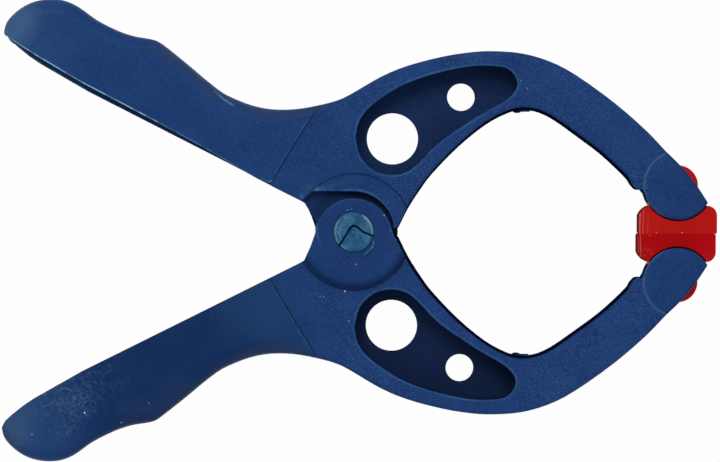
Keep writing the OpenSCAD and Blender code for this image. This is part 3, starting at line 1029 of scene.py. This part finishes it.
blue = {
    # The tip tint is a painted highlight that lightens the grips towards their ends
    "deep": (0.0003, 0.017, 0.1), "light": (0.0185, 0.073, 0.25), "tip": (0.031, 0.098, 0.245),
    # The wall tint is painted shade on the walls that little light reaches
    "wall": (0.0004, 0.003, 0.018), "wallShadeShare": 0.95,
    "tipSpan": (-60 * mm, -82 * mm), "tipShare": 0.7, "jawSpan": (-16 * mm, 2 * mm),
    "speckle": (0.052, 0.12, 0.29), "speckleShare": 1, "speckleScale": 3900, "speckleLeast": 0.4,
    "speckleEdge": (0.56, 0.7), "patchScale": 75, "patchEdge": (0.4, 0.62),
    "plain": (0.0056, 0.043, 0.166), "plainShare": 0.35,
    # The shine tint is a painted highlight along the upper arm's near lip
    "shine": (0.3, 0.54, 0.68), "shineShare": 0.9, "shineLeast": 0.35,
    "shineScale": 420, "shineEdge": (0.42, 0.56),
    # The rub tint is rubbed wear with a painted highlight on the rims; the dirt tint is painted shade at the
    # crease's foot and on the pockets' floors
    "rub": (0.085, 0.27, 0.5), "rubAndHighlightShare": 0.95, "dirt": (0.0006, 0.005, 0.03), "paintedShadeShare": 0.85,
    "scratch": (0.02, 0.055, 0.14), "scratchShare": 0.4,
    "roughness": (0.5, 0.66), "specular": 0.1, "grain": 4800, "grainShare": 0.8, "clouds": 130,
    "bump": 0.3, "bumpDepth": 0.03 * mm,
    # Painted shade over the lower grip, round the hinge and on both cheeks; a lighter patch near the lower
    # waist; painted reflections on the lower grip's back; painted highlights at both grips' ends and at the
    # hinge recess's left end
    "paintedLightAndShade": [
        ((-38, -34, 12), 34, 0.75, (0.0006, 0.02, 0.088)),
        ((0, -2, 11.35), 15, 0.4, (0.005, 0.03, 0.13)),
        ((0, 12, 11.65), 6, 0.3, (0.003, 0.032, 0.14)),
        ((74, 9.5, 11.65), 9.5, 0.45, (0.004, 0.031, 0.135)),
        ((74, -9.5, 11.65), 9.5, 0.35, (0.004, 0.031, 0.135)),
        ((-22, -16, 12), 12, 0.35, (0.015, 0.06, 0.17)),
        ((-47, -42.5, 10.5), 7, 0.15, (0.045, 0.06, 0.105)),
        ((-38.5, -37, 10.5), 6, 0.15, (0.045, 0.06, 0.105)),
        ((-78, 47.5, 12), 9, 0.8, (0.052, 0.125, 0.27)),
        ((-78.5, -43.5, 12), 10, 0.6, (0.04, 0.095, 0.2)),
        ((-8.3, 9.45, 11), 0.9, 0.75, (0.06, 0.19, 0.33)),
        ((-7, 9.4, 11), 1.1, 0.5, (0.04, 0.14, 0.29)),
        ((-5.2, 9.4, 11), 1.2, 0.3, (0.03, 0.11, 0.26)),
        ((-11.6, 7.9, 11.6), 0.7, 0.4, (0.05, 0.17, 0.3)),
    ],
    "arcs": [
        # Painted shade in the groove round the lower ear
        ((0, 0), 12.35, 1.5, -90, 88, 0, 0.7, (0.001, 0.011, 0.06)),
        # The crease: a painted shadow line, and beside it a painted highlight line
        *(((157.1, -85 * way), 199.85, 0.34, 148.5 * way, 3.2, 0.25, 0.8, (0.001, 0.01, 0.055))
          for way in (1, -1)),
        *(((157.1, -85 * way), 200.2, 0.16, 148.5 * way, 3.2, 0.9, amount, (0.05, 0.15, 0.3))
          for way, amount in ((1, 0.7), (-1, 0.5))),
        # Round the hinge: a faint brownish line on the lower groove's outer edge, a painted shadow at the
        # upper dish's wall and painted highlights inside the dish
        ((0, 0), 13.2, 0.35, -90, 75, 0.5, 0.25, (0.03, 0.06, 0.12)),
        ((0, 0), 13.1, 0.45, 85, 75, 0, 0.2, (0.001, 0.011, 0.06)),
        ((0, 0), 12.7, 0.3, 80, 75, 0.3, 0.3, (0.028, 0.085, 0.22)),
        ((0, 0), 11.4, 0.9, 117, 22, 0.3, 0.5, (0.018, 0.075, 0.21)),
        # Painted reflections along the grips' backs at both waists and further along the upper grip, and a
        # painted highlight streak on the upper waist's edge
        ((-15.9, 47.2), 21, 1.7, -103, 50, 0.2, 0.4, (0.042, 0.06, 0.1)),
        ((-15.9, 47.2), 22.1, 0.3, -127, 8, 0.5, 0.9, (0.12, 0.26, 0.38)),
        ((-62.5, 5.9), 39.6, 2.2, 51, 15, 0.1, 0.45, (0.042, 0.064, 0.11)),
        ((-15.9, -47.2), 21, 1.7, 115, 50, 0.2, 0.4, (0.042, 0.06, 0.1)),
        # Painted highlights on the lower ear's rim and on both cheeks' rims
        ((0, 1.1), 8.3, 0.5, 100, 125, 0.3, 0.6, (0.05, 0.15, 0.32), 10.9, 11.6),
        *(((72.3, 10.8 * way), 7.6, 0.42, 180 - 4 * way, 85, 0.2, 0.75, (0.065, 0.15, 0.33))
          for way in (1, -1)),
        # Painted shadow in the crescent under the upper arm's ledge, and painted shade in the recess to its
        # left
        ((0, 0), 9.4, 3, 40, 70, 0, 1, (0.0002, 0.0016, 0.01), -10, 10.5),
        ((0, 0), 9.4, 3, 110, 60, 0, 0.65, (0.002, 0.011, 0.055), -10, 10.5),
        ((-64.1, -37.4), 2.2, 0.16, 88, 50, 0.4, 0.7, (0.16, 0.26, 0.36)),
        ((-75, -48.5), 1.2, 0.2, 60, 60, 0.4, 0.5, (0.1, 0.18, 0.28)),
        ((-68.5, -37.5), 1.6, 0.2, -60, 60, 0.4, 0.4, (0.1, 0.18, 0.28)),
    ],
    "scuffs": [
        ((-28.1, 29.5, 11.5), 1.6, 1500, 0.8, (0.12, 0.24, 0.33)),
        ((-10.1, 9.7, 11.65), 1.3, 5200, 0.8, (0.12, 0.2, 0.3)),
        ((-58, -33, 12), 11, 900, 0.75, (0.04, 0.095, 0.2)),
        ((-67, -37, 12), 11, 900, 0.75, (0.04, 0.095, 0.2)),
        ((-76, -42, 12), 8, 900, 0.6, (0.04, 0.095, 0.2)),
        ((-60.5, -38.4, 12), 4.6, 1300, 0.9, (0.11, 0.2, 0.31)),
        ((-66.5, -37.8, 12), 5.5, 1100, 0.8, (0.09, 0.17, 0.28)),
        ((-64, -44.5, 12), 5, 1300, 0.7, (0.08, 0.15, 0.25)),
        ((-75.5, -46, 12), 4, 1300, 0.7, (0.08, 0.15, 0.25)),
        ((-74, 44, 12), 9, 900, 0.4, (0.055, 0.115, 0.22)),
    ],
    "dust": [
        ((-15.9, 26.2, 11.9), 0.2, (0.6, 0.66, 0.72)),
        ((37.1, 34, 11.65), 0.16, (0.25, 0.35, 0.45)),
        ((38.6, 32.2, 11.65), 0.15, (0.25, 0.35, 0.45)),
        ((-13.9, 18, 11.9), 0.2, (0.45, 0.55, 0.62)),
        ((-18.4, 11.2, 11.9), 0.3, (0.5, 0.6, 0.66)),
        ((-1.85, -13.2, 11.65), 0.2, (0.7, 0.75, 0.85)),
        ((-6.6, -14.4, 11.65), 0.16, (0.2, 0.3, 0.4)),
        ((-7.4, -14.4, 11.65), 0.16, (0.2, 0.3, 0.4)),
        ((-2.1, -7.1, 11.35), 0.14, (0.15, 0.25, 0.4)),
        ((0.65, -7.2, 11.35), 0.16, (0.35, 0.45, 0.55)),
        ((6.8, 3.8, 11.35), 0.18, (0.45, 0.5, 0.6)),
        ((-1.4, 4.9, 11.35), 0.16, (0.35, 0.45, 0.55)),
        ((-0.5, 5.1, 11.35), 0.13, (0.25, 0.35, 0.45)),
        ((-8.3, -13.9, 11.65), 0.14, (0.15, 0.25, 0.4)),
        ((-9.3, -14.1, 11.65), 0.12, (0.12, 0.2, 0.35)),
        ((-6, -14.9, 11.65), 0.12, (0.15, 0.25, 0.4)),
        ((-13.6, -20.4, 11.65), 0.16, (0.3, 0.4, 0.5)),
        ((-0.9, -19.9, 11.65), 0.18, (0.3, 0.4, 0.5)),
        ((-31.6, -19.4, 11.9), 0.16, (0.15, 0.25, 0.4)),
        ((-59.7, -40.6, 12), 0.24, (0.7, 0.75, 0.8)),
        ((-71.4, -45.5, 12), 0.2, (0.25, 0.35, 0.45)),
        ((-45.4, -38.4, 12), 0.2, (0.15, 0.25, 0.35)),
        ((-51.5, -42.8, 11), 0.35, (0.12, 0.25, 0.32)),
    ],
}


def makeBluePlastic(name, **changes):
    material, tree, surface, colour = startPlastic(name, {**blue, **changes})
    # Painted highlight that lightens both grips towards their ends
    colour = mixIn(tree, colour, across(tree, *blue["tipSpan"]), blue["tipShare"], blue["tip"])
    wall = marked(tree, "innerWall")
    jaws = across(tree, *blue["jawSpan"])
    flecks = ramp(tree, noise(tree, blue["speckleScale"], detail=1.5), *blue["speckleEdge"])
    patches = ramp(tree, noise(tree, blue["patchScale"]), *blue["patchEdge"])
    least = blue["speckleLeast"]
    share = plus(tree, times(tree, times(tree, jaws, patches), 1 - least), least)
    share = times(tree, share, oneLess(tree, wall))
    colour = mixIn(tree, colour, times(tree, flecks, share), blue["speckleShare"], blue["speckle"])
    handles = oneLess(tree, calc(tree, "MAXIMUM", jaws, wall))
    colour = mixIn(tree, colour, handles, blue["plainShare"], blue["plain"])
    # Scratches, then the rubbed edges' wear with its painted highlight
    scratches, rub = (useEffect(tree, name)["Mask"] for name in ("fineScratches", "edgeRub"))
    colour = mixIn(tree, colour, scratches, blue["scratchShare"], blue["scratch"])
    colour = mixIn(tree, colour, rub, blue["rubAndHighlightShare"], blue["rub"])
    # Painted highlight along the upper arm's near lip, broken up in patches
    shineBreakup = ramp(tree, noise(tree, blue["shineScale"], detail=4), *blue["shineEdge"])
    shineBreakup = plus(tree, shineBreakup, blue["shineLeast"], clamp=True)
    shine = times(tree, marked(tree, "lipShine"), shineBreakup)
    colour = mixIn(tree, colour, shine, blue["shineShare"], blue["shine"])
    # Painted shade at the crease's foot and on the pockets' floors
    colour = mixIn(tree, colour, marked(tree, "seamDirt"), blue["paintedShadeShare"], blue["dirt"])
    addMarks(tree, surface, colour, blue)
    return material


reds = {
    "dullRed": {
        "deep": (0.46, 0.006, 0.0045), "light": (0.58, 0.01, 0.0085), "rub": (0.6, 0.11, 0.1),
        # Painted highlight lines down the pad's left end
        "arcs": [
            ((163.75, 0), 100, 0.22, 180, 4, 0.3, 0.8, (0.6, 0.23, 0.2), 10.7, 20),
            ((164.5, 0), 100, 0.2, 180, 4, 0.4, 0.6, (0.6, 0.14, 0.12)),
            ((165.55, 0), 100, 0.16, 180, 3, 0.5, 0.35, (0.6, 0.11, 0.1)),
        ],
        "scuffs": [((71, 0.3, 11.5), 2.4, 2600, 0.2, (0.6, 0.1, 0.09))],
        "dust": [((73.2, 0.3, 11.5), 0.2, (0.65, 0.22, 0.19)),
                 ((67.5, 0.25, 11.5), 0.16, (0.65, 0.22, 0.19))],
    },
    "deepRed": {
        "deep": (0.39, 0.0001, 0.0016), "light": (0.53, 0.0002, 0.003), "rub": (0.56, 0.09, 0.085),
        # Painted light on the lower lug, which lies in the arm's shadow
        "paintedLightAndShade": [((79, -16, 6), 14, 0.6, (0.7, 0.03, 0.032))],
        # Painted highlight lines down the pad's left end
        "arcs": [
            ((163.25, 0), 100, 0.22, 180, 4, 0.3, 0.8, (0.56, 0.21, 0.2), 10.7, 20),
            ((163.9, 0), 100, 0.2, 180, 4, 0.4, 0.7, (0.56, 0.15, 0.14), 10.7, 20),
        ],
        "scuffs": [((65.6, -4.1, 11.5), 2.2, 1500, 0.45, (0.55, 0.08, 0.07))],
        "dust": [((66, -0.4, 11.5), 0.14, (0.6, 0.2, 0.2))],
    },
}
# The red's walls get painted shade, and its rubbed edges a painted highlight
redMoulding = {
    "roughness": (0.42, 0.56), "specular": 0.06, "grain": 1500, "grainShare": 0.25, "clouds": 90,
    "bump": 0.12, "bumpDepth": 0.04 * mm, "rubAndHighlightShare": 0.4, "rubAndHighlightLeast": 0.6,
    "wall": (0.26, 0.01, 0.008), "wallShadeShare": 0.8,
}


def makeRedPlastic(name):
    look = {**redMoulding, **reds[name]}
    material, tree, surface, colour = startPlastic(name, look)
    # The pad's rubbed ends and rims, with their painted highlight
    rub = useEffect(tree, "edgeRub", Least=look["rubAndHighlightLeast"])["Mask"]
    colour = mixIn(tree, colour, rub, look["rubAndHighlightShare"], look["rub"])
    addMarks(tree, surface, colour, look)
    return material


teal = {
    "deep": (0.005, 0.06, 0.165), "light": (0.025, 0.125, 0.275),
    "roughness": (0.5, 0.66), "specular": 0.15, "grain": 1000, "grainShare": 0.6, "clouds": 300,
    "bump": 0.5, "bumpDepth": 0.1 * mm,
    "swirl": (0.055, 0.19, 0.3), "swirlShare": 0.45,
    "swirlLines": {"Scale": 260, "Distortion": 9, "Detail": 3}, "swirlEdge": (0.55, 0.95),
    # Painted highlights on the pin's rim, with a darker line between the two on the left
    "arcs": [
        ((0, 0), 4.15, 0.42, 25, 42, 0.35, 0.95, (0.22, 0.4, 0.48)),
        ((0, 0), 4.1, 0.45, 180, 48, 0.5, 0.8, (0.14, 0.32, 0.4)),
        ((0, 0), 3.2, 0.35, 180, 44, 0.4, 0.6, (0.1, 0.26, 0.34)),
        ((0, 0), 3.65, 0.22, 178, 50, 0.2, 0.7, (0.006, 0.04, 0.08)),
        ((0, 0), 4.05, 0.4, -125, 16, 0.3, 0.8, (0.1, 0.3, 0.36)),
    ],
    "scuffs": [
        ((2.9, -3.2, 11.6), 1.6, 1500, 0.6, (0.16, 0.36, 0.4)),
        ((-1.9, -3, 11.6), 1, 1500, 0.6, (0.16, 0.3, 0.34)),
        ((0.8, -0.3, 11.8), 1.5, 1300, 0.8, (0.09, 0.27, 0.38)),
        ((-1.2, -1.6, 11.8), 1.3, 1300, 0.7, (0.09, 0.25, 0.36)),
        ((3.1, -1.8, 11.8), 1.2, 1300, 0.8, (0.12, 0.3, 0.38)),
        ((4.1, -3.4, 11.6), 1.8, 1500, 0.8, (0.22, 0.36, 0.38)),
        ((-3.2, 0.4, 11.6), 2.2, 1700, 0.8, (0.16, 0.36, 0.44)),
        ((-1.6, 2.9, 11.6), 2, 1700, 0.7, (0.14, 0.32, 0.42)),
        ((2.8, 2.2, 11.6), 1.8, 1700, 0.7, (0.14, 0.32, 0.42)),
    ],
}


def makeTealPlastic():
    material, tree, surface, colour = startPlastic("tealPlastic", teal)
    smear = addNode(tree, "TexWave", {**teal["swirlLines"], "Vector": objectPlace(tree)}, wave_type="RINGS")
    swirl = ramp(tree, smear.outputs["Fac"], *teal["swirlEdge"])
    colour = mixIn(tree, colour, swirl, teal["swirlShare"], teal["swirl"])
    addMarks(tree, surface, colour, teal)
    return material


steel = {
    "dark": (0.36, 0.37, 0.38), "pale": (0.62, 0.63, 0.64), "grain": 900, "edge": (0.35, 0.65),
    "stretch": ((1, 1, 4), (0, 0, 0)), "roughLeast": 0.2, "roughShare": 0.2,
}


def makeSteel():
    material, tree, surface = newMaterial("springSteel")
    drawn = noise(tree, steel["grain"], detail=3, stretch=steel["stretch"])
    colour = mixColour(tree, ramp(tree, drawn, *steel["edge"]), steel["dark"], steel["pale"])
    rough = plus(tree, times(tree, drawn, steel["roughShare"]), steel["roughLeast"])
    tree.links.new(colour, surface.inputs["Base Color"])
    tree.links.new(rough, surface.inputs["Roughness"])
    surface.inputs["Metallic"].default_value = 1.0
    return material


placeCamera()
buildStage()
finishes = {name: makeRedPlastic(name) for name in reds}
finishes["bluePlastic"] = makeBluePlastic("bluePlastic")
finishes["shadedPlastic"] = makeBluePlastic("shadedPlastic", specular=0.0)
finishes["tealPlastic"] = makeTealPlastic()
finishes["springSteel"] = makeSteel()
print("finishes:", sorted(finishes))


def dress(piece, finish, body, node):
    piece.data.materials.clear()
    piece.data.materials.append(finishes[finish])
    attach(piece, body)
    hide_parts(node)


# The walls with painted shade are dull all through, so that they stay dark when seen edge on
def dullWalls(piece):
    piece.data.materials.append(finishes["shadedPlastic"])
    for polygon, mark in zip(piece.data.polygons, piece.data.attributes["innerWall"].data):
        polygon.material_index = round(mark.value)


for side in ("upper", "lower"):
    armPiece = buildArm(side)
    dress(armPiece, "bluePlastic", side + "_arm", side + "_arm")
    dullWalls(armPiece)
dress(buildPad("upperJawPad"), "dullRed", "upper_pad", "upper_jaw_pad")
lowerPad = turnOver(buildPad("lowerJawPad", pad["lowerShift"]))
dress(lowerPad, "deepRed", "lower_pad", "lower_jaw_pad")
dress(buildPin(), "tealPlastic", "lower_arm", "hinge_pin")

wireSpring = buildSpring()
wireSpring.data.materials.append(finishes["springSteel"])
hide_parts("torsion_spring")
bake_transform(wireSpring)
